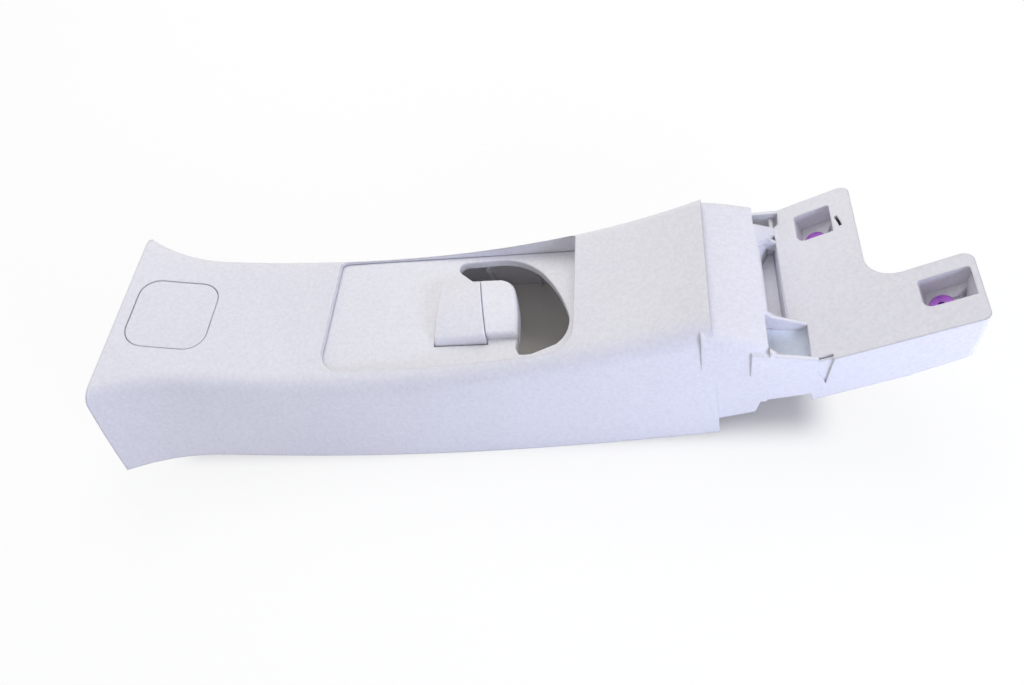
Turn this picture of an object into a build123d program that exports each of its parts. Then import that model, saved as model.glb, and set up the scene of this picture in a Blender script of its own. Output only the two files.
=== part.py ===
from build123d import *
import math
import os

os.makedirs("parts", exist_ok=True)

# ---------------------------------------------------------------- driving sizes, mm
# The moulding lies on its open side: +X runs from the roof end to the sill end, +Z is the cabin face.

# main channel
wall = 2.5                 # skin of the trim moulding
rim_radius = 1418.0        # long curve of the two lower rims, lowest at X = 0
top_radius = 600.0         # long curve of the cabin face
top_low_x = -70.0          # where the cabin face is lowest
top_low_z = 64.0
roof_end_top_x = -256.0    # slanting end cut at the roof
roof_end_rim_x = -265.5
step_x = 118.0             # end of the grained face
step_lean = 3.5            # how far the rim runs on past that step
corner_r = 12.0            # long roll between cabin face and side walls
low_level, high_level = 0.0, 107.0         # the two levels that give the side walls' draft
flare_start_x = -200.0       # from here the side walls turn outwards, up to the roof end
# half widths of the channel: at the sill, half way, where the flare starts, at the roof end
low_half_near = (63.4, 68.6, 75.6, 86.0)
low_half_far = (63.4, 68.6, 76.4, 87.5)
high_half_near = (50.6, 41.5, 45.5, 68.0)
high_half_far = (51.5, 33.5, 34.0, 54.5)

# window for the sliding cover
win_x0, win_x1 = -120.0, 41.0
win_near_y, win_far_y = -43.0, 45.0
win_near_r, win_far_r = 16.0, 4.0
curtain = 2.0              # collar round the window, down to the cover
curtain_gap = 0.8          # collar to cover

# sliding cover and its straight guide
guide_pitch = 2.0          # degrees, nose down towards the sill
guide_z = 58.0             # cover face where X = 0
cover_t = 2.2
cover_side_gap = 0.6
cover_lap = 5.0            # cover stays this far behind the window's ends
cover_travel = 65.0
guide_wall = 2.0
guide_gap = 0.45           # under and over the cover
guide_lip = 2.4
guide_lip_t = 1.8
guide_run_on = 4.0

# belt outlet, in the cover's own plane
outlet_tip = (-36.0, 36.5)
outlet_x1 = 35.0
hood_edge_r, button_edge_r = 2.6, 0.9
outlet_far_web, outlet_near_web = 3.6, 9.0
outlet_lip_r = 0.9
outlet_lip_t, outlet_lip_depth = 1.4, 6.0

# pod: hood and button
pod_x0, pod_x1 = -47.5, 4.9
pod_near_y, pod_far_y = -25.0, 21.5
hood_near_y = -21.3
pod_h = 8.5                  # crown of the pod, at its step
pod_side_h = 5.6
pod_side_r = 4.6
button_fall, hood_fall = 4.0, 1.5   # degrees that the two halves drop away from the step
hood_step = 1.2              # hood stands this much lower than the button
button_x1 = -18.0            # step between button and hood, on the middle line
step_skew = 9.4              # degrees
pod_skin = 2.0
button_gap = 0.5
button_skirt = 11.0        # button walls below the cover's face
button_travel = 3.5
well_t = 1.8
spring_od, spring_wire, spring_turns = 9.0, 0.8, 6.0
spring_set_h = 13.0

# screw cover
cap_x, cap_y = -223.0, -3.0
cap_side, cap_corner_r = 52.0, 13.0
cap_gap = 0.5
cap_t = 2.2
cap_well_depth = 15.0
cap_well_t = 2.2
cap_leg_w, cap_leg_t, cap_leg_l, cap_barb = 9.0, 1.6, 9.0, 1.0
cap_leg_y = 8.0             # legs stand this far each side of the cover's middle
screw_hole_r = 3.5
screw_seat_r = 9.0
screw_boss_l = 22.0
screw_floor_t = 3.0

# sill end: neck and clip block
joggle = 2.2               # neck sits this far under the grained face
neck_end_x, neck_end_z = 148.0, 79.8
neck_lap = 6.0             # neck runs this far under the grained skin
neck_crown = 1.3           # bow of the neck's ramp
neck_r = 7.0
# half widths of the neck at its start and its end, at the two levels
neck_low_near, neck_low_far = (60.6, 58.8), (60.6, 58.6)
neck_high_near, neck_high_far = (49.6, 56.4), (47.6, 47.0)
block_x0, block_z0 = 161.0, 63.0
block_slope = 23.94        # degrees
block_x1 = 248.4
lower_near_half, lower_far_half = 57.2, 56.6
lower_corner_r = 3.0
arm_x1 = 202.5
arm_inner_y = -15.4
arm_inner_r = 16.0
arm_corner_r = 6.0
pocket_depth = 13.0
pocket_t = 2.0
pocket1 = (12.4, 33.0, 26.6, 46.5)   # u0, u1, v0, v1 in the block's plane
pocket2 = (67.9, 92.6, -41.7, -24.3)

# retaining clips
clip_flange_r = 6.0
clip_stem_r = 3.4
clip_fit = 0.3
clip_l = 15.0

# stiffening
rib_t = 1.6
rib_h = 4.0
rib_pitch = 32.0


# ---------------------------------------------------------------- curves and frames
def top_z(x):
    return top_low_z + top_radius - math.sqrt(top_radius**2 - (x - top_low_x) ** 2)


def rim_z(x):
    return rim_radius - math.sqrt(rim_radius**2 - x**2)


def box(x0, x1, y0, y1, z0, z1):
    return Pos((x0 + x1) / 2, (y0 + y1) / 2, (z0 + z1) / 2) * Box(x1 - x0, y1 - y0, z1 - z0)


def side_face(*points):
    """A polygon seen from the side, as (x, z) pairs."""
    return make_face(Plane.XZ * Polyline(*points, close=True))


def across(face, y0, y1):
    """The side profile carried across the width."""
    return Pos(0, y1, 0) * extrude(face, amount=y1 - y0, dir=(0, -1, 0))


guide = Pos(0, 0, guide_z) * Rot(0, guide_pitch, 0)
block = Pos(block_x0, 0, block_z0) * Rot(0, -block_slope, 0)
cap_tilt = math.degrees(math.asin((cap_x - top_low_x) / top_radius))
cap_seat = Pos(cap_x, cap_y, top_z(cap_x)) * Rot(0, -cap_tilt, 0)


# ---------------------------------------------------------------- main channel
def side_curve(side, level, half, inset):
    """One long side at one level: a gentle bow, then a flare that runs on straight past the roof end."""
    xs, xm, x_end = step_x + 30, (step_x + 30 + flare_start_x) / 2, roof_end_top_x
    sill, mid, start, end = [side * (h - inset) for h in half]
    run = ThreePointArc((xs, sill, level), (xm, mid, level), (flare_start_x, start, level))
    flare = TangentArc((flare_start_x, start, level), (x_end, end, level), tangent=run % 1)
    way = flare % 1
    tail = Line(flare @ 1, flare @ 1 + way * (24 / -way.X))
    return run, flare, tail


def side_outline(level, near_half, far_half, inset):
    """Plan outline of the channel at one level."""
    near = side_curve(-1, level, near_half, inset)
    far = side_curve(1, level, far_half, inset)
    return make_face([
        *near, Line(near[2] @ 1, far[2] @ 1), *reversed(far), Line(far[0] @ 0, near[0] @ 0),
    ])


def channel_core(inset):
    low = side_outline(low_level, low_half_near, low_half_far, inset)
    high = side_outline(high_level, high_half_near, high_half_far, inset)
    return loft([low, high], ruled=True)


def channel_profile(inset, run_on):
    """Side view of the channel between its two long curves."""
    x0t, x0r = roof_end_top_x - run_on, roof_end_rim_x - run_on
    x1t, x1r = step_x + run_on, step_x + step_lean + run_on
    r = top_radius + inset
    def zt(x):
        return top_low_z + top_radius - math.sqrt(r**2 - (x - top_low_x) ** 2)
    xm = (x0t + x1t) / 2
    edges = [
        ThreePointArc((x0t, zt(x0t)), (xm, zt(xm)), (x1t, zt(x1t))),
        Line((x1t, zt(x1t)), (x1r, rim_z(x1r) - inset * 4)),
        ThreePointArc((x1r, rim_z(x1r) - inset * 4), (0, -inset * 4), (x0r, rim_z(x0r) - inset * 4)),
        Line((x0r, rim_z(x0r) - inset * 4), (x0t, zt(x0t))),
    ]
    return make_face(Plane.XZ * Curve(edges))


def channel_solid(inset, run_on, roll):
    body = channel_core(inset) & across(channel_profile(inset, run_on), -120, 120)
    body = body.solids().sort_by(SortBy.VOLUME)[-1]
    long_edges = [
        e for e in body.edges()
        if e.bounding_box().size.X > 30 and e.center().Z > 50 and abs(e.center().Y) > 30
        and e.bounding_box().min.Z > 45
    ]
    return fillet(long_edges, roll)


def side_ribs():
    """Upright ribs on the inner side walls, at one pitch."""
    bars = Part()
    n = int((step_x - rib_pitch / 2 - roof_end_top_x) // rib_pitch)
    for i in range(n + 1):
        x = step_x - rib_pitch / 2 - i * rib_pitch
        z0 = rim_z(x) + 3
        bars += box(x - rib_t / 2, x + rib_t / 2, -100, 100, z0, z0 + 36)
    return (bars & channel_core(wall - 0.3)) - channel_core(wall + rib_h)


# ---------------------------------------------------------------- window, collar and guide
def window_plan(grow):
    """Rounded opening seen from above: large corners on the near side, small on the far side."""
    w, d = win_x1 - win_x0 + 2 * grow, win_far_y - win_near_y + 2 * grow
    face = Pos((win_x0 + win_x1) / 2, (win_near_y + win_far_y) / 2) * Rectangle(w, d)
    pts = face.vertices().sort_by(Axis.Y)
    face = fillet(pts[:2], win_near_r + grow)
    pts = face.vertices().sort_by(Axis.Y)
    return fillet(pts[-2:], win_far_r + grow)


def window_hole():
    return Pos(0, 0, guide_z - 20) * extrude(window_plan(0), amount=80)


def collar(outer):
    """Collar that closes the depth between the cabin face and the flat cover."""
    tube = Pos(0, 0, guide_z - 20) * extrude(window_plan(curtain), amount=80)
    over_cover = guide * box(-200, 200, -90, 90, curtain_gap, 90)
    return tube & over_cover & outer


def guide_rails(outer):
    """Two hanging walls with lips that carry the cover's edges."""
    x0 = win_x0 - cover_lap - cover_travel - guide_run_on
    x1 = win_x1 + cover_lap + cover_travel + guide_run_on
    low = -(cover_t + guide_gap)
    rails = Part()
    for s, y in ((-1, win_near_y), (1, win_far_y)):
        out, lip = sorted((y, y + s * guide_wall)), sorted((y + s * guide_wall, y - s * guide_lip))
        rails += guide * box(x0, x1, *out, low - guide_lip_t, 60)
        rails += guide * box(x0, x1, *lip, low - guide_lip_t, low)
        rails += guide * box(win_x1 + curtain + 3, x1, *lip, guide_gap, guide_gap + guide_lip_t)
    # end stops for the cover, one on each rail at both ends
    for x, d in ((x0 + guide_run_on - cover_side_gap, -1), (x1 - guide_run_on + cover_side_gap, 1)):
        xs = sorted((x, x + d * guide_wall))
        for s, y in ((-1, win_near_y), (1, win_far_y)):
            ys = sorted((y + s * guide_wall, y - s * 3 * guide_lip))
            rails += guide * box(*xs, *ys, low, guide_gap + 1)
    return rails & outer


# ---------------------------------------------------------------- screw cover and its well
def rounded_prism(side, r, z0, z1):
    return Pos(0, 0, z0) * extrude(RectangleRounded(side, side, r), amount=z1 - z0)


cap_open = cap_side + 2 * cap_gap
cap_ledge = 2.5            # width of the seat under the cover's edge
cap_void = cap_open - 2 * cap_ledge
leg_off = cap_void / 2 - 0.35


def cap_well(outer):
    """Ledge for the cover, the well under it, and the screw boss."""
    seat = rounded_prism(cap_open + 2 * cap_well_t, cap_corner_r + cap_well_t, -cap_t - 2.6, 12)
    tub = rounded_prism(cap_void + 2 * cap_well_t, cap_corner_r, -cap_well_depth - screw_floor_t, -cap_t - 2)
    boss = Pos(0, 0, -cap_well_depth - screw_boss_l) * Cylinder(
        screw_seat_r, screw_boss_l, align=(Align.CENTER, Align.CENTER, Align.MIN))
    fins = Part()
    for a in range(0, 360, 90):
        fins += Rot(0, 0, a) * box(screw_seat_r - 1, cap_void / 2, -rib_t / 2, rib_t / 2,
                                   -cap_well_depth - 14, -cap_well_depth - 1)
    return cap_seat * (seat + tub + boss + fins) & outer


def cap_cuts():
    opening = rounded_prism(cap_open, cap_corner_r + cap_gap, -cap_t, 14)
    void = rounded_prism(cap_void, cap_corner_r - cap_ledge + cap_gap, -cap_well_depth, 1)
    hole = Pos(0, 0, -60) * Cylinder(screw_hole_r, 60, align=(Align.CENTER, Align.CENTER, Align.MIN))
    relief = Pos(0, 0, -cap_well_depth - screw_boss_l - 5) * Cylinder(
        screw_seat_r - 2.5, screw_boss_l + 5 - screw_floor_t, align=(Align.CENTER, Align.CENTER, Align.MIN))
    cuts = opening + void + hole + relief
    for s in (-1, 1):
        for y in (-cap_leg_y, cap_leg_y):
            cuts += box(*sorted((s * (cap_void / 2 - 1), s * (cap_void / 2 + cap_well_t + 1))),
                        y - cap_leg_w / 2 - 0.5, y + cap_leg_w / 2 + 0.5,
                        -cap_t - cap_leg_l - 0.3, -cap_t - cap_leg_l + cap_barb + 1.4)
    return cap_seat * cuts


def screw_cover(outer):
    """Snap cover with a face that carries on the channel's curve, and four barbed legs."""
    plate = rounded_prism(cap_side, cap_corner_r, -cap_t, 12)
    legs = Part()
    for s in (-1, 1):
        for y in (-cap_leg_y, cap_leg_y):
            xs = sorted((s * leg_off, s * (leg_off - cap_leg_t)))
            legs += box(*xs, y - cap_leg_w / 2, y + cap_leg_w / 2, -cap_t - cap_leg_l, -cap_t + 0.5)
            tip = -cap_t - cap_leg_l
            barb = Plane.XZ * Polyline(
                (s * (leg_off - 0.5), tip), (s * leg_off, tip),
                (s * (leg_off + cap_barb), tip + 1.6), (s * (leg_off - 0.5), tip + 2.0), close=True)
            legs += Pos(0, y + cap_leg_w / 2, 0) * extrude(make_face(barb), amount=cap_leg_w, dir=(0, -1, 0))
    rib = box(-cap_side / 2 + 8, cap_side / 2 - 8, -0.8, 0.8, -cap_t - 2.5, -cap_t + 0.2)
    rib += box(-0.8, 0.8, -cap_side / 2 + 8, cap_side / 2 - 8, -cap_t - 2.5, -cap_t + 0.2)
    body = cap_seat * plate & outer
    rim = [e for e in body.edges() if (cap_seat.inverse() * e).center().Z > -0.9]
    body = fillet(rim, 0.6)
    return body + cap_seat * (legs + rib)


# ---------------------------------------------------------------- sill end: neck and clip block
def neck_core(inset):
    """Neck between two plan outlines; it narrows upwards to sit inside the channel."""
    faces = []
    x0, x1 = step_x - 2 * neck_lap, neck_end_x + 2
    for level, (near, neck_near), (far, neck_far) in (
        (low_level, neck_low_near, neck_low_far), (high_level, neck_high_near, neck_high_far),
    ):
        faces.append(make_face(Polyline(
            (x0, -near + inset, level), (x1, -neck_near + inset, level),
            (x1, neck_far - inset, level), (x0, far - inset, level), close=True)))
    return loft(faces, ruled=True)


def lower_plan(inset):
    """L-shaped plan of the sill end, with a large inner corner."""
    xm = neck_end_x - 6
    near, far = -lower_near_half + inset, lower_far_half - inset
    arm = Pos((xm + arm_x1 - inset) / 2, (near + far) / 2) * Rectangle(arm_x1 - inset - xm, far - near)
    toe_x, toe_y = block_x1 - inset, arm_inner_y - inset
    toe = Pos((xm + toe_x) / 2, (near + toe_y) / 2) * Rectangle(toe_x - xm, toe_y - near)
    face = arm + toe
    def at(x, y):
        return [v for v in face.vertices() if abs(v.X - x) < 0.01 and abs(v.Y - y) < 0.01]
    face = fillet(at(arm_x1 - inset, toe_y), arm_inner_r + inset)
    for x, y, r in ((arm_x1 - inset, far, arm_corner_r), (block_x1 - inset, toe_y, arm_corner_r),
                    (block_x1 - inset, near, lower_corner_r + 0.5)):
        face = fillet(at(x, y), r - inset)
    return face


def neck_solid(inset, roll):
    """Neck: a ramp that falls from under the grained face, with the same long rolls."""
    x0, x1 = step_x - neck_lap, neck_end_x
    foot = 60 * (inset > 0)
    z0 = top_z(x0) - joggle - inset
    crown = (z0 + neck_end_z - inset) / 2 + neck_crown
    top = ThreePointArc((x0, z0), ((x0 + x1) / 2, crown), (x1, neck_end_z - inset))
    under = Polyline((x1, neck_end_z - inset), (x1, 31 - foot), (144.5, 30.5 - foot), (142, 20 - foot),
                     (step_x + step_lean, 14.5 - foot), (x0, 12 - foot), (x0, z0))
    body = neck_core(inset) & across(make_face(Plane.XZ * Curve([top, under])), -80, 80)
    body = body.solids().sort_by(SortBy.VOLUME)[-1]
    rolls = [
        e for e in body.edges()
        if e.bounding_box().size.X > 20 and e.bounding_box().min.Z > 70 and abs(e.center().Y) > 30
    ]
    return fillet(rolls, roll)


def block_profile(inset):
    """Side view past the neck: fall into the valley, then the block's ramp up."""
    slope = math.tan(math.radians(block_slope))
    x0, x1 = neck_end_x - 0.6, block_x1 + 10
    drop = inset / math.cos(math.radians(block_slope))
    foot = 60 * (inset > 0)
    x0 -= inset
    return side_face(
        (x0, neck_end_z - inset * 1.2), (neck_end_x - inset * 0.9, neck_end_z - inset * 1.2),
        (block_x0 - inset * 0.6, block_z0 - drop - inset * 0.3),
        (x1, block_z0 + (x1 - block_x0) * slope - drop),
        (x1, 69 - foot), (248, 69 - foot), (220, 51 - foot), (173, 29 - foot), (171.5, 36 - foot),
        (x0, 31 - foot))


def lower_solid(inset):
    plan = Pos(0, 0, -5) * extrude(lower_plan(inset), amount=140)
    return neck_solid(inset, neck_r - inset) + (plan & across(block_profile(inset), -80, 80))


def near_fin():
    """Free top edge of the near wall beside the gap, and the web with its tongue."""
    y0 = -lower_near_half
    fin = across(side_face((138, 79), (neck_end_x + 0.5, 76.6), (172.5, 71), (176, 68), (176, 58), (138, 58)),
                 y0, y0 + wall)
    web = across(side_face((neck_end_x - 3, 79), (171.5, 66.6), (171.5, 64), (162.5, 64), (161, 54),
                           (152.5, 54), (151.5, 66), (neck_end_x - 3, 66)), -31.5, -29.5)
    x0, x1 = neck_end_x - 3, block_x0 + 1.4
    far_web = across(side_face((x0, 78), (x1, 61.8), (x1, 56), (x0, 62)), 31.5, 33.5)
    return fin + web, far_web


def plan_cut(points, z0, z1):
    return Pos(0, 0, z0) * extrude(make_face(Polyline(*points, close=True)), amount=z1 - z0)


def gap_cuts():
    """Slot across the neck's end, and a window at each corner of the gap."""
    x = neck_end_x + 0.6
    slot = plan_cut([(x, -28.5), (x, 20.5), (block_x0 - 0.4, 38), (block_x0 + 0.2, -24)], 40, 95)
    near = plan_cut([(x - 1.6, -31.5), (170.2, -31.5), (169.6, -53), (x - 1.6, -53.6)], 56, 95)
    far = plan_cut([(x - 1.4, 33.5), (block_x0 + 2.5, 46), (block_x0 + 3.5, 70), (x - 1.4, 70)], 60.5, 95)
    return slot + near + far


def wall_notch():
    notch = side_face((172.6, 73.8), (180.4, 75.5), (178.2, 47), (172.4, 60.5))
    return across(notch, -70, -lower_near_half + wall + 1)


def pocket_plan(p, grow, cut_r):
    u0, u1, v0, v1 = p
    face = Pos((u0 + u1) / 2, (v0 + v1) / 2) * Rectangle(u1 - u0 + 2 * grow, v1 - v0 + 2 * grow)
    pts = face.vertices().sort_by(Axis.Y)[:2].sort_by(Axis.X)
    face = fillet([pts[0]], cut_r + grow)
    return fillet(face.vertices().sort_by(Axis.Y)[-2:], 1.5 + grow)


clip_at = (
    (pocket1[0] + clip_flange_r + 1.2, pocket1[2] + clip_flange_r + 1.6),
    (pocket2[0] + clip_flange_r + 1.0, pocket2[2] + clip_flange_r + 1.2),
)


def pocket_tubs(solid):
    tubs = Part()
    for p in (pocket1, pocket2):
        plan = pocket_plan(p, pocket_t, 5)
        tubs += Pos(0, 0, -pocket_depth - pocket_t) * extrude(plan, amount=pocket_depth + 12)
    return block * tubs & solid


def pocket_cuts():
    """Open pockets, each with a keyhole in its floor: a round seat and a flared entry beside it."""
    cuts = Part()
    for p, (u, v) in zip((pocket1, pocket2), clip_at):
        cuts += Pos(0, 0, -pocket_depth) * extrude(pocket_plan(p, 0, 5), amount=40)
        low = -pocket_depth - pocket_t - 6
        hole_r = clip_stem_r + clip_fit
        seat = Pos(u, v, low) * Cylinder(hole_r, 12, align=(Align.CENTER, Align.CENTER, Align.MIN))
        half = hole_r - 0.4
        x1 = p[1] - 3.0
        throat = box(u, x1, v - half, v + half, low, low + 12)
        mouth = [(u + 7.5, v - half), (x1, v - half - 1), (x1, v + half + 5), (u + 7.5, v + half)]
        entry = plan_cut(mouth, low, low + 12)
        cuts += seat + throat + entry
    cuts += Pos(pocket1[1] + 3.6, pocket1[2] + 6, -12) * Rot(0, 0, 14) * Box(1.6, 8, 40)
    return block * cuts


def block_ribs(inner):
    ribs = Part()
    for u in (4, 44):
        ribs += block * box(u, u + rib_t, -90, 90, -16, 2)
    for v in (-8.0, 12.0):
        ribs += block * box(0, 92, v, v + rib_t, -14, 2)
    return ribs & inner


def neck_ribs(inner):
    ribs = Part()
    for y in (-24, 0, 24):
        ribs += box(step_x + 1, neck_end_x - 3.5, y - rib_t / 2, y + rib_t / 2, 62, 100)
    return ribs & inner


def pillar_trim(outer, inner):
    shell = outer - inner
    shell += side_ribs()
    shell += collar(outer) + guide_rails(outer)
    shell -= window_hole() + cover_run()
    shell += cap_well(outer)
    shell -= cap_cuts()
    lo, li = lower_solid(0), lower_solid(wall)
    lower = (lo - li) + (block_ribs(li) + neck_ribs(li))
    lower += pocket_tubs(lo)
    lower -= gap_cuts() + pocket_cuts()
    fin, far_web = near_fin()
    lower += fin + far_web
    lower -= wall_notch()
    return shell + lower


def cover_run():
    """Room that the sliding cover sweeps between its rails, with the guide gap all round."""
    return guide * box(cover_x0 - cover_travel - guide_gap, cover_x1 + guide_gap,
                       cover_near - guide_gap, cover_far + guide_gap, -cover_t - guide_gap, guide_gap)


# ---------------------------------------------------------------- sliding cover: plate, outlet, pod
cover_x0 = win_x0 - cover_lap
cover_x1 = win_x1 + cover_lap + cover_travel
cover_near, cover_far = win_near_y + cover_side_gap, win_far_y - cover_side_gap


def step_at(y):
    return button_x1 - y * math.tan(math.radians(step_skew))


def button_plan(grow=0.0):
    y0, y1 = pod_near_y, pod_far_y
    face = make_face(Polyline((pod_x0, y0), (step_at(y0), y0), (step_at(y1), y1), (pod_x0, y1), close=True))
    return offset(face, grow, kind=Kind.INTERSECTION) if grow else face


def hood_plan(start, inset=0.0):
    """Plan of the pod's fixed half: big round at the far sill corner, slightly bowed end."""
    y0, y1, x1 = hood_near_y + inset, pod_far_y - inset, pod_x1 - inset
    a, b = (step_at(y0) + start, y0), (step_at(y1) + start, y1)
    return make_face(Curve([
        Line(a, (x1, y0)), ThreePointArc((x1, y0), (x1, -10), (x1 - 3.0, y1 - 11)),
        ThreePointArc((x1 - 3.0, y1 - 11), (x1 - 6.6, y1 - 3.6), (x1 - 13.0, y1)),
        Line((x1 - 13.0, y1), b), Line(b, a)]))


def outlet_plan():
    """Belt outlet: a round-nosed crescent that wraps the pod's far side and end."""
    tip_x, tip_y = outlet_tip
    far_y, near_y = cover_far - outlet_far_web, cover_near + outlet_near_web
    start, end = (tip_x + 2.4, tip_y + 3.4), (13.0, near_y)
    far_run = Line(start, (-13.0, far_y))
    shoulder = TangentArc((-13.0, far_y), (19.0, 26.4), tangent=far_run % 1)
    belly = TangentArc((19.0, 26.4), (outlet_x1, -4.0), tangent=shoulder % 1)
    heel = TangentArc((outlet_x1, -4.0), (28.0, -26.8), tangent=belly % 1)
    close_off = Polyline((28.0, -26.8), end, (pod_x1 + 1.2, near_y), (pod_x1 - 1.0, near_y + 4.2),
                         (pod_x1 - 0.4, hood_near_y + 1), (-10, hood_near_y + 1), (-10, pod_far_y - 4),
                         (button_x1 + 1, pod_far_y - 4), (button_x1 + 1, pod_far_y + 2.7),
                         (button_x1 - 10, pod_far_y + 3.2), (tip_x, tip_y - 5.0))
    nose = ThreePointArc((tip_x, tip_y - 5.0), (tip_x - 1.6, tip_y - 0.8), start)
    face = make_face(Curve([far_run, shoulder, belly, heel, close_off, nose]))
    near = [face.vertices().sort_by_distance(p)[0] for p in ((28.0, -26.8), end)]
    face = fillet(near, 4.0)
    toe = [face.vertices().sort_by_distance(p)[0]
           for p in ((pod_x1 + 1.2, near_y), (pod_x1 - 1.0, near_y + 4.2))]
    return fillet(toe, 1.6) - hood_plan(-4)


def barrel(fall, drop, grow):
    """Space under the pod's cross-wise arc, its top dropping away from the step."""
    y0, y1 = pod_near_y - grow, pod_far_y + grow
    h, side = pod_h - drop, pod_side_h - drop
    sect = Plane.YZ * Curve([
        Line((y0, -40), (y0, side)), ThreePointArc((y0, side), ((y0 + y1) / 2, h), (y1, side)),
        Line((y1, side), (y1, -40)), Line((y1, -40), (y0, -40))])
    bar = Pos(-60, 0, 0) * extrude(make_face(sect), amount=120, dir=(1, 0, 0))
    return Pos(button_x1, 0, 0) * Rot(0, fall, 0) * Pos(-button_x1, 0, 0) * bar


def pod_half(plan, low, fall, drop, grow=0.0):
    return (Pos(0, 0, low) * extrude(plan, amount=20 - low)) & barrel(fall, drop, grow)


def hood():
    """Fixed half of the pod, its outer wall carried down as the outlet's inner side."""
    shell = pod_half(hood_plan(-4), -outlet_lip_depth, hood_fall, hood_step, grow=0.5)
    rim = [e for e in shell.edges() if e.center().Z > 1 and e.center().X > step_at(e.center().Y) + 1
           and e.bounding_box().size.Z < 6 and max(e.bounding_box().size.X, e.bounding_box().size.Y) > 2]
    return fillet(rim, hood_edge_r)


def hood_void():
    return pod_half(hood_plan(button_gap + well_t, pod_skin), -20, hood_fall, hood_step + pod_skin, grow=0.5)


well_floor = -(button_skirt + button_travel + 2.0)   # top of the spring bar
lug_z = -(button_skirt - 3.0)
spring_x = (pod_x0 + button_x1) / 2
spring_y = (pod_near_y + pod_far_y) / 2


def button_well():
    """Guide walls round the button's skirt and the bar that carries its spring."""
    low = well_floor - 1.0
    body = Pos(0, 0, low) * extrude(button_plan(button_gap + well_t), amount=-low - cover_t / 2)
    body -= Pos(0, 0, low - 1) * extrude(button_plan(button_gap), amount=30)
    y0, y1 = pod_near_y - button_gap, pod_far_y + button_gap
    body += box(pod_x0 - button_gap - well_t, step_at(spring_y) + button_gap + 1, spring_y - 6, spring_y + 6,
                well_floor - 2.2, well_floor)
    body += Pos(spring_x, spring_y, well_floor) * Cylinder(
        1.4, 3.0, align=(Align.CENTER, Align.CENTER, Align.MIN))
    return body - box(spring_x - 3, spring_x + 3, y0 - well_t - 1, y1 + well_t + 1,
                      lug_z - button_travel - 1.2, lug_z + 1.5 + 0.3)


def slide_cover():
    plate = box(cover_x0, cover_x1, cover_near, cover_far, -cover_t, 0)
    plan = outlet_plan()
    hole = Pos(0, 0, -40) * extrude(plan, amount=80)
    body = plate - hole
    lip = [e for e in body.edges() if abs(e.center().Z) < 0.01 and e.bounding_box().size.Z < 0.01
           and e.bounding_box().min.X > cover_x0 + 1 and e.bounding_box().max.X < cover_x1 - 1
           and e.bounding_box().min.Y > cover_near + 1 and e.bounding_box().max.Y < cover_far - 1]
    body = fillet(lip, outlet_lip_r)
    ring = extrude(offset(plan, outlet_lip_t), amount=outlet_lip_depth - outlet_lip_r - 0.3)
    body += Pos(0, 0, -outlet_lip_depth) * ring - hole
    body += hood() + button_well()
    body -= hood_void()
    body -= Pos(0, 0, well_floor) * extrude(button_plan(button_gap), amount=40)
    return guide * (body + cover_ribs())


def cover_ribs():
    """Low ribs under the plate, across its long tail and along its roof end."""
    ribs = Part()
    x = win_x1 + 14
    while x < cover_x1 - 4:
        ribs += box(x, x + rib_t, cover_near + 5, cover_far - 5, -cover_t - 2.2, -cover_t + 0.2)
        x += rib_pitch / 2
    for y in (cover_near + 20, cover_far - 20):
        ribs += box(cover_x0 + 3, pod_x0 - 6, y, y + rib_t, -cover_t - 2.2, -cover_t + 0.2)
    return ribs


# ---------------------------------------------------------------- release button and its spring
def release_button():
    plan = offset(button_plan(), -button_gap / 2, kind=Kind.INTERSECTION)
    shell = pod_half(plan, -button_skirt, -button_fall, 0)
    sides = [e for e in shell.edges() if e.center().Z > 1 and e.bounding_box().size.X > 15]
    shell = fillet(sides, pod_side_r)
    ends = [e for e in shell.edges() if e.center().Z > 1 and e.bounding_box().size.Y > 30]
    shell = fillet(ends, button_edge_r)
    void = pod_half(button_plan(-pod_skin), -button_skirt - 1, -button_fall, pod_skin, grow=-pod_skin)
    pad_z = well_floor + spring_set_h
    post = Pos(spring_x, spring_y, pad_z) * Cylinder(
        spring_od / 2 + 1, pod_h, align=(Align.CENTER, Align.CENTER, Align.MIN))
    cross = box(pod_x0 + 1, step_at(spring_y) - 1, spring_y - rib_t / 2, spring_y + rib_t / 2, pad_z, pod_h)
    body = shell - void + (post + cross & pod_half(plan, -button_skirt, -button_fall, pod_skin / 2))
    body += Pos(spring_x, spring_y, pad_z - 4) * Cylinder(
        1.6, 5, align=(Align.CENTER, Align.CENTER, Align.MIN))
    for s, y in ((-1, pod_near_y), (1, pod_far_y)):
        ys = sorted((y - s * 1.0, y + s * (button_gap + 1.0)))
        body += box(spring_x - 2, spring_x + 2, *ys, lug_z, lug_z + 1.5)
    return guide * body


def button_spring():
    r = (spring_od - spring_wire) / 2
    rise = spring_set_h - spring_wire - 0.1
    coil = Helix(pitch=rise / spring_turns, height=rise, radius=r)
    wire = sweep(Plane(origin=coil @ 0, z_dir=coil % 0) * Circle(spring_wire / 2), path=coil)
    return guide * Pos(spring_x, spring_y, well_floor + spring_wire / 2 + 0.05) * wire


# ---------------------------------------------------------------- retaining clips
def retaining_clip(u, v):
    """Flanged plastic clip: hollow stem through the keyhole, shoulder under the floor, tapered nose."""
    t = pocket_t + 0.25
    stem, bulge = clip_stem_r, clip_stem_r + 1.1
    sect = make_face(Plane.XZ * Polyline(
        (1.7, 1.5), (clip_flange_r - 0.4, 1.5), (clip_flange_r, 1.1), (clip_flange_r, 0.05),
        (stem, 0.05), (stem, -t), (bulge, -t - 0.1), (bulge, -t - 1.3), (stem, -t - 2.0),
        (stem, -t - 6), (stem + 0.7, -t - 7.5), (2.4, -clip_l), (1.7, -clip_l), close=True))
    body = revolve(sect, Axis.Z)
    body -= box(-0.6, 0.6, -10, 10, -clip_l - 1, -t - 3)
    return block * Pos(u, v, -pocket_depth) * body


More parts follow.
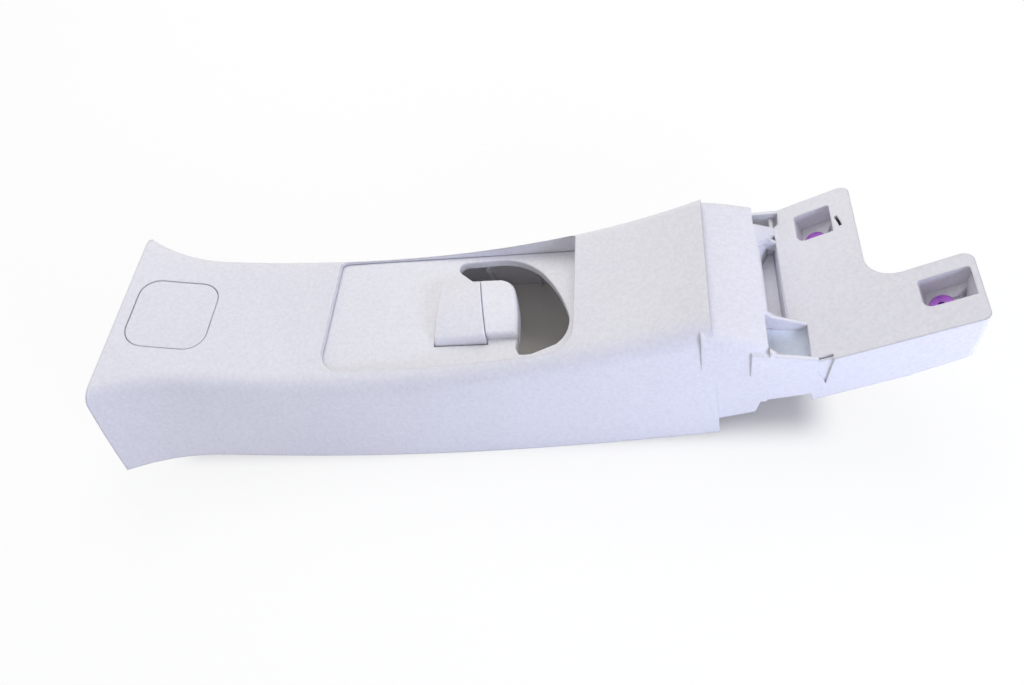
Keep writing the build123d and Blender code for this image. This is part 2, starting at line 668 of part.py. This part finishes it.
# ---------------------------------------------------------------- build, centre and write
def build():
    outer = channel_solid(0, 0, corner_r)
    inner = channel_solid(wall, 5, corner_r - wall)
    parts = {
        "pillar_trim": pillar_trim(outer, inner),
        "screw_cover": screw_cover(outer),
        "slide_cover": slide_cover(),
        "release_button": release_button(),
        "button_spring": button_spring(),
        "retaining_clip_far": retaining_clip(*clip_at[0]),
        "retaining_clip_near": retaining_clip(*clip_at[1]),
    }
    box_all = parts["pillar_trim"].bounding_box()
    home = Pos(-box_all.center().X, -box_all.center().Y, -box_all.min.Z)
    return home, {name: home * part for name, part in parts.items()}


home, parts = build()
for name, part in parts.items():
    part.label = name
    export_step(part, f"parts/{name}.step")
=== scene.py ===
import math

import bmesh
import bpy
from mathutils import Matrix, Vector


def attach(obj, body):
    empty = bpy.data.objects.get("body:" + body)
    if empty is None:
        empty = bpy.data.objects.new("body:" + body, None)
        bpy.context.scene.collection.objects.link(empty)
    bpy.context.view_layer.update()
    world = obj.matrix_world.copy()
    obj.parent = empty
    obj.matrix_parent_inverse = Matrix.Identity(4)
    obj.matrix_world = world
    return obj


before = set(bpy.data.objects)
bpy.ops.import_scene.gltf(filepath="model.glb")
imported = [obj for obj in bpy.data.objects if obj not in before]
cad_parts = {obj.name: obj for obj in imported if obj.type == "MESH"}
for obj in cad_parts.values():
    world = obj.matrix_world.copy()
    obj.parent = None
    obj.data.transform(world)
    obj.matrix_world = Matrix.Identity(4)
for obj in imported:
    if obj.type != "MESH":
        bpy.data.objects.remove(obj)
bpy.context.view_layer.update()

# --------------------------------------------------------------------------- camera
# A short lens above the panel's near side, looking down on the cabin face and rolled so that
# the panel lies level across the frame.
camera_place = Vector((0.111748, -0.290139, 0.451378))
look_down, turn, roll = (math.radians(a) for a in (54.0465, -20.9241, -20.7584))
flat_reach = math.cos(look_down)
ahead = Vector((math.sin(turn) * flat_reach, math.cos(turn) * flat_reach, -math.sin(look_down)))
level = Vector((math.cos(turn), -math.sin(turn), 0))
above = level.cross(ahead)
right = level * math.cos(roll) + above * math.sin(roll)
upward = above * math.cos(roll) - level * math.sin(roll)

camera = bpy.data.objects.new("camera", bpy.data.cameras.new("camera"))
camera.data.sensor_width, camera.data.lens = 36.0, 28.068
camera.data.clip_start, camera.data.clip_end = 0.01, 30.0
facing_axes = Matrix((right, upward, -ahead)).transposed().to_4x4()
camera.matrix_world = Matrix.Translation(camera_place) @ facing_axes
bpy.context.scene.collection.objects.link(camera)
bpy.context.scene.camera = camera
bpy.context.scene.view_settings.view_transform = "Standard"


# --------------------------------------------------------------------------- pillar trim
# The long moulding: injection moulded polypropylene with a fine spark-eroded grain on the cabin
# side, and a plain satin back with ribs, slightly uneven from the flow of the melt.
class Value:
    """A socket among a material's nodes. Arithmetic on it adds Math nodes."""

    def __init__(self, tree, socket):
        self.tree, self.socket = tree, socket

    def math(self, operation, *inputs):
        return node(self.tree, "Math", {"operation": operation}, dict(enumerate(inputs)))

    def __add__(self, other):
        return self.math("ADD", self, other)

    def __sub__(self, other):
        return self.math("SUBTRACT", self, other)

    def __rsub__(self, other):
        return self.math("SUBTRACT", other, self)

    def __mul__(self, other):
        return self.math("MULTIPLY", self, other)

    def __abs__(self):
        return self.math("ABSOLUTE", self)

    __radd__, __rmul__ = __add__, __mul__

    def ease(self, low, high):
        """0 below low, 1 above high, smooth between."""
        return node(self.tree, "MapRange", {"interpolation_type": "SMOOTHSTEP"},
                    {"Value": self, "From Min": low, "From Max": high})


def node(tree, kind, settings=None, inputs=None, out=0):
    """Adds one node: its settings first, then a value or a link for each socket."""
    made = tree.nodes.new("ShaderNode" + kind)
    for name, setting in (settings or {}).items():
        setattr(made, name, setting)
    for name, given in (inputs or {}).items():
        if isinstance(given, Value):
            tree.links.new(given.socket, made.inputs[name])
        else:
            made.inputs[name].default_value = given
    return Value(tree, made.outputs[out])


def blank(name):
    """A new material with nothing in it but its output."""
    material = bpy.data.materials.new(name)
    material.use_nodes = True
    material.node_tree.nodes.clear()
    return material, material.node_tree


def surface(tree, shader, output="ShaderNodeOutputMaterial"):
    """Sends a shader to the output."""
    tree.links.new(shader.socket, tree.nodes.new(output).inputs["Surface"])


def blend(tree, amount, under, over):
    """Lays one colour over another by amount. Either may be a link or a colour with alpha."""
    return node(tree, "Mix", {"data_type": "RGBA"}, {0: amount, 6: under, 7: over}, 2)


def tint(tree, amount, low, high):
    """Colour that goes from low to high with amount."""
    return blend(tree, amount, (*low, 1), (*high, 1))


def noise(tree, place, scale, detail=2.0):
    """Plain noise over a place, with scale in cycles a metre."""
    return node(tree, "TexNoise", None, {"Vector": place, "Scale": scale, "Detail": detail})


def moulded(name, colour, grain_scale, grain_height, gloss, seed, edge_radius=0.0007):
    """Pale moulded plastic: grain on the shown side, a plain back, soft edges, worn a little, and
    painted shade in its corners and creases.
    """
    material, tree = blank(name)
    place = node(tree, "TexCoord", out="Object")
    shift = (seed, seed * 0.7, seed * 0.3)
    place = node(tree, "Mapping", None, {"Vector": place, "Location": shift})
    normal = node(tree, "NewGeometry", out="Normal")
    rounded = node(tree, "Bevel", {"samples": 4}, {"Radius": edge_radius})
    facing = node(tree, "SeparateXYZ", None, {0: normal}, "Z")
    shown = facing.ease(-0.12, -0.02)
    aligned = node(tree, "VectorMath", {"operation": "DOT_PRODUCT"},
                   {0: rounded, 1: normal}, "Value")
    edge = (1 - aligned).ease(0.02, 0.22)

    cells = node(tree, "TexVoronoi", {"feature": "SMOOTH_F1"},
                 {"Vector": place, "Scale": grain_scale, "Smoothness": 0.7, "Randomness": 1.0})
    fine = noise(tree, place, grain_scale * 1.9)
    grain = cells * 0.65 + fine * 0.55
    flow = noise(tree, place, 42.0, 1.0)
    cloud = noise(tree, place, 11.0, 3.0)
    fleck = noise(tree, place, 430.0, 3.0)
    corner = node(tree, "AmbientOcclusion", {"samples": 4}, {"Distance": 0.004}, "AO")

    tone = cloud * 0.30 + fleck * 0.50 + grain * 0.20
    dark = tuple(c * k for c, k in zip(colour, (0.935, 0.930, 0.945)))
    light = tuple(min(1.0, c * 1.055) for c in colour)
    base = tint(tree, tone.ease(0.30, 0.70), dark, light)
    worn = tuple(min(1.0, c * 1.06) for c in colour)
    base = blend(tree, edge * 0.55, base, (*worn, 1))
    # painted shade: the colour darkens where ambient occlusion finds nearby surfaces, in corners,
    # creases and joint lines
    painted_crease_shade = tuple(c * k for c, k in zip(colour, (0.86, 0.85, 0.85)))
    base = blend(tree, (1 - corner).ease(0.35, 1.0) * 0.5, base, (*painted_crease_shade, 1))

    height = grain * shown + flow * (1 - shown) * 0.8
    bump = node(tree, "Bump", None, {
        "Strength": 0.55, "Distance": grain_height, "Height": height, "Normal": rounded})
    rough = (1 - shown) * -0.12 + edge * -0.06 + fine * 0.08 + (gloss - 0.02)
    shader = node(tree, "BsdfPrincipled", None, {
        "Base Color": base, "Roughness": rough, "Normal": bump,
        "IOR": 1.49, "Specular IOR Level": 0.36})
    surface(tree, shader)
    return material


def finish(name, material):
    """Gives a node of the CAD its finish."""
    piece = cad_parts[name]
    for i in range(max(1, len(piece.material_slots))):
        if i < len(piece.material_slots):
            piece.material_slots[i].material = material
        else:
            piece.data.materials.append(material)


trim_colour = (0.715, 0.708, 0.752)
trim_plastic = moulded("trim_plastic", trim_colour, 1150.0, 0.00016, 0.58, 0.0, 0.0014)
finish("pillar_trim", trim_plastic)


# --------------------------------------------------------------------------- gap walls
# Thin inner walls in the gap between the neck and the clip block, moulded in one with the panel:
# the trough under the cross slot, a strip of far wall, and a backing behind the notch in the
# near side wall.
def slab(shape, corners, thickness):
    """A flat wall: four or more corners in mm, thickened along one vector."""
    ring = [shape.verts.new((x / 1000, y / 1000, z / 1000)) for x, y, z in corners]
    thicken(shape, [shape.faces.new(ring)], [t / 1000 for t in thickness])


def thicken(shape, faces, along):
    """Extrudes faces by a vector in metres."""
    made = bmesh.ops.extrude_face_region(shape, geom=faces)
    moved = [v for v in made["geom"] if isinstance(v, bmesh.types.BMVert)]
    bmesh.ops.translate(shape, verts=moved, vec=along)


def piece_from(shape, name, body, material):
    """Closes a bmesh into a piece that rides on a body."""
    bmesh.ops.recalc_face_normals(shape, faces=shape.faces)
    mesh = bpy.data.meshes.new(name)
    shape.to_mesh(mesh)
    shape.free()
    mesh.materials.append(material)
    piece = bpy.data.objects.new(name, mesh)
    bpy.context.scene.collection.objects.link(piece)
    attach(piece, body)


# the trough, in mm: its plan is a strip across the panel with its far left corner cut off
left, right, floor_z = 158.2, 169.1, 50.5
near, far = -26.2, 34.6
cut_x, cut_y = 165.0, 21.4
block_edge_z, neck_edge_z = 62.2, 76.0

shape = bmesh.new()
slab(shape, [(left, near, floor_z), (right, near, floor_z), (right, far, floor_z),
             (cut_x, far, floor_z), (left, cut_y, floor_z)], (0, 0, -1.6))
slab(shape, [(right, near, block_edge_z), (right, far, block_edge_z),
             (right, far, floor_z), (right, near, floor_z)], (1.5, 0, 0))
slab(shape, [(left, near, neck_edge_z), (left, cut_y, neck_edge_z),
             (left, cut_y, floor_z), (left, near, floor_z)], (-1.4, 0, 0))
slab(shape, [(left, cut_y, 74.0), (cut_x, far, 65.0),
             (cut_x, far, floor_z), (left, cut_y, floor_z)], (-0.9, 1.2, 0))
slab(shape, [(cut_x, far, 59.0), (right, far, 59.0),
             (right, far, floor_z), (cut_x, far, floor_z)], (0, 1.5, 0))

far_wall_y, far_wall_x0, far_wall_x1, far_wall_z = 55.3, 156.6, 172.8, 60.2
slab(shape, [(far_wall_x0, far_wall_y, 64.6), (far_wall_x1, far_wall_y, 64.4),
             (far_wall_x1, far_wall_y, far_wall_z),
             (far_wall_x0, far_wall_y, far_wall_z)], (0, 2.2, 0))

notch_y, notch_x0, notch_x1, notch_z = -54.9, 178.6, 191.0, 42.0
slab(shape, [(notch_x0, notch_y, 66.4), (notch_x1, notch_y, 71.6),
             (notch_x1, notch_y, notch_z), (notch_x0, notch_y, notch_z)], (0, 1.2, 0))
piece_from(shape, "gap_walls", "trim", trim_plastic)


# --------------------------------------------------------------------------- gap shelf
# The sloping shelf behind the near tongue, seen through the gap's near window. The same plastic,
# moulded in one with the panel. Its finer grain makes it smoother; its lighter, bluer colour is
# painted cool light.
# painted light: a lighter, bluer colour than the panel's, standing in for cool light from the side
shelf_painted_light_colour = (0.80, 0.86, 1.0)
shelf_back_y, shelf_front_y = -28.6, -51.6
shape = bmesh.new()
slab(shape, [(154.0, shelf_back_y, 66.0), (181.5, shelf_back_y, 62.0),
             (179.5, shelf_front_y, 53.0), (154.0, shelf_front_y, 56.0)], (0, 0.4, -1.4))
shelf_painted_light_plastic = moulded("shelf_painted_light_plastic", shelf_painted_light_colour, 1500.0, 0.00006, 0.55, 0.12)
piece_from(shape, "gap_shelf", "trim", shelf_painted_light_plastic)


# --------------------------------------------------------------------------- pocket end
# The end wall of the outer clip pocket, where the tilted pocket runs into the block's outer face:
# a thin plate of the same plastic that closes the wall beside the keyhole, moulded in one with it.
plate_x, plate_y0, plate_y1, plate_z0, plate_z1 = 256.9, -41.5, -22.4, 77.6, 95.4
shape = bmesh.new()
slab(shape, [(plate_x, plate_y0, plate_z1), (plate_x, plate_y1, plate_z1),
             (plate_x, plate_y1, plate_z0), (plate_x, plate_y0, plate_z0)], (-1.3, 0, 0))
piece_from(shape, "pocket_end", "trim", trim_plastic)


# --------------------------------------------------------------------------- screw cover
# A square snap cover over the upper fixing screw, moulded in the same plastic with a slightly
# finer grain. Its face is bare.
cap_colour = (0.712, 0.706, 0.748)
finish("screw_cover", moulded("cap_plastic", cap_colour, 1300.0, 0.00008, 0.56, 0.31))


# --------------------------------------------------------------------------- sliding cover
# The plate that slides behind the window, with the belt outlet and the fixed half of the pod.
# Smoother than the panel, because the belt and a hand rub on it.
cover_colour = (0.728, 0.722, 0.760)
cover_plastic = moulded("cover_plastic", cover_colour, 1500.0, 0.00006, 0.52, 0.57)
finish("slide_cover", cover_plastic)


# --------------------------------------------------------------------------- hood lip
# A lip along the hood's end that closes most of the joint line beside the button. It is the
# same plastic, moulded in one with the cover, and it leaves the button free to move.
lip_thickness = 0.00034
step_angle = math.radians(9.4)
toward_button = Vector((-math.cos(step_angle), -math.sin(step_angle), 0))
hood_end_from, hood_end_to = 0.0084, 0.0091    # where the hood's end lies along that direction


def is_hood_end(face):
    """True for the faces of the cover that look at the button across the joint line."""
    if face.normal.dot(toward_button) < 0.995:
        return False
    return hood_end_from < face.calc_center_median().dot(toward_button) < hood_end_to


shape = bmesh.new()
shape.from_mesh(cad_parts["slide_cover"].data)
bmesh.ops.remove_doubles(shape, verts=shape.verts, dist=0.00001)
rest = [face for face in shape.faces if not is_hood_end(face)]
bmesh.ops.delete(shape, geom=rest, context="FACES")
thicken(shape, shape.faces[:], toward_button * lip_thickness)
piece_from(shape, "hood_lip", "cover", cover_plastic)


# --------------------------------------------------------------------------- release button
# The tilted cap that is pressed to free the slide: the same plastic, rubbed smooth.
button_colour = (0.722, 0.714, 0.758)
finish("release_button", moulded("button_plastic", button_colour, 1600.0, 0.00005, 0.48, 0.83))


# --------------------------------------------------------------------------- button spring
# A coil of cold-drawn spring wire that pushes the button up. It stands loose in the cover's well,
# and its wire has fine drawing lines and a thin oil film.
def spring_wire():
    """Bright drawn steel."""
    material, tree = blank("spring_steel")
    place = node(tree, "TexCoord", out="Object")
    lines = node(tree, "Mapping", None, {"Vector": place, "Scale": (1.0, 1.0, 14.0)})
    lines = noise(tree, lines, 900.0, 3.0)
    stain = noise(tree, place, 260.0, 2.0)
    base = tint(tree, stain.ease(0.3, 0.7), (0.50, 0.50, 0.50), (0.66, 0.66, 0.67))
    bump = node(tree, "Bump", None, {"Strength": 0.3, "Distance": 0.00002, "Height": lines})
    shader = node(tree, "BsdfPrincipled", None, {
        "Base Color": base, "Metallic": 1.0, "Roughness": lines * 0.18 + 0.24, "Normal": bump})
    surface(tree, shader)
    return material


finish("button_spring", spring_wire())


# --------------------------------------------------------------------------- retaining clips
# Two violet acetal clips, moulded in one piece each. A stem goes through a keyhole in a pocket's
# floor, and its nose snaps into the car body.
def clip_plastic():
    """Smooth violet plastic with a faint swirl."""
    material, tree = blank("clip_plastic")
    place = node(tree, "TexCoord", out="Object")
    rounded = node(tree, "Bevel", {"samples": 4}, {"Radius": 0.0003})
    swirl = noise(tree, place, 180.0, 2.0)
    skin = noise(tree, place, 1400.0, 1.0)
    base = tint(tree, swirl.ease(0.3, 0.7), (0.330, 0.075, 0.520), (0.420, 0.105, 0.620))
    bump = node(tree, "Bump", None, {
        "Strength": 0.4, "Distance": 0.00004, "Height": skin, "Normal": rounded})
    shader = node(tree, "BsdfPrincipled", None, {
        "Base Color": base, "Roughness": skin * 0.14 + 0.30, "Normal": bump, "IOR": 1.48})
    surface(tree, shader)
    return material


clip_finish = clip_plastic()
for clip in ("retaining_clip_far", "retaining_clip_near"):
    finish(clip, clip_finish)


# --------------------------------------------------------------------------- floor
# White table top with painted shade under the panel: a darker warm patch, so that the openings look
# into shade.
# Elsewhere the table is plain white, with a soft shadow close to the panel, partly real and partly
# painted.
def sees_background(tree):
    """1 for the rays that find the plain white background: straight, reflected or through glass."""
    straight = node(tree, "LightPath", out="Is Camera Ray")
    reflected = node(tree, "LightPath", out="Is Glossy Ray")
    return straight + reflected + node(tree, "LightPath", out="Is Transmission Ray")


floor_half, floor_drop = 6.0, 0.0002
shade_patch_x, shade_patch_y = -0.0225, 0.01
mesh = bpy.data.meshes.new("floor")
shape = bmesh.new()
bmesh.ops.create_grid(shape, x_segments=1, y_segments=1, size=floor_half)
bmesh.ops.translate(shape, verts=shape.verts, vec=(0, 0, -floor_drop))
shape.to_mesh(mesh)
shape.free()
floor = bpy.data.objects.new("floor", mesh)
bpy.context.scene.collection.objects.link(floor)

material, tree = blank("floor_white")
place = node(tree, "TexCoord", out="Object")
along = node(tree, "SeparateXYZ", None, {0: place}, "X")
across = node(tree, "SeparateXYZ", None, {0: place}, "Y")
past_end = abs(along - shade_patch_x).ease(0.195, 0.225)
past_side = abs(across - shade_patch_y).ease(0.058, 0.085)
outside = 1 - (1 - past_end) * (1 - past_side)
floor_speckle = noise(tree, place, 900.0)
pale = tint(tree, floor_speckle, (0.955, 0.955, 0.955), (0.965, 0.965, 0.965))
# painted shade: the floor under the panel is darker and warmer than the white table around it
floor_shade_patch = tint(tree, floor_speckle, (0.78, 0.755, 0.72), (0.86, 0.835, 0.80))
top = blend(tree, outside, floor_shade_patch, pale)
lit = node(tree, "BsdfDiffuse", None, {"Color": top, "Roughness": 0.5})
glow = node(tree, "Emission", None, {"Color": (1, 1, 1, 1), "Strength": 1.0})
# the white glow fades out across the patch's edge, which paints part of the shadow close to the
# panel
shader = node(tree, "MixShader", None, {0: sees_background(tree) * outside * 0.85, 1: lit, 2: glow})
surface(tree, shader)
mesh.materials.append(material)


# --------------------------------------------------------------------------- light
# Soft studio light: a pale room, a large lamp overhead, a far lamp that fills from the left and
# a small cool lamp low on the right.
def soft_box(name, place, aim, size, watts, colour):
    """A round area lamp that looks at a point."""
    lamp = bpy.data.lights.new(name, "AREA")
    lamp.shape, lamp.size, lamp.energy, lamp.color = "DISK", size, watts, colour
    holder = bpy.data.objects.new(name, lamp)
    holder.location = place
    holder.rotation_euler = (Vector(aim) - Vector(place)).to_track_quat("-Z", "Y").to_euler()
    bpy.context.scene.collection.objects.link(holder)


soft_box("overhead", (0.05, 0.76, 1.04), (0.03, 0, 0), 1.1, 8.6, (0.99, 0.98, 0.955))
soft_box("left_fill", (-2.2, 0.5, 1.7), (0, 0, 0.05), 0.9, 6.0, (0.95, 0.97, 1.0))
soft_box("window_side", (0.62, -0.64, 0.30), (0.10, -0.02, 0.06), 0.34, 4.6, (0.66, 0.73, 1.0))

world = bpy.data.worlds.new("studio")
world.use_nodes = True
tree = world.node_tree
tree.nodes.clear()
height = node(tree, "SeparateXYZ", None, {0: node(tree, "TexCoord", out="Generated")}, "Z")
walls_to_ceiling = tint(tree, height.ease(0.0, 0.9), (0.30, 0.30, 0.31), (0.58, 0.58, 0.58))
room = node(tree, "Background", None, {"Color": walls_to_ceiling, "Strength": 1.0})
white = node(tree, "Background", None, {"Color": (1, 1, 1, 1), "Strength": 1.0})
shader = node(tree, "MixShader", None, {0: sees_background(tree), 1: room, 2: white})
surface(tree, shader, "ShaderNodeOutputWorld")
bpy.context.scene.world = world
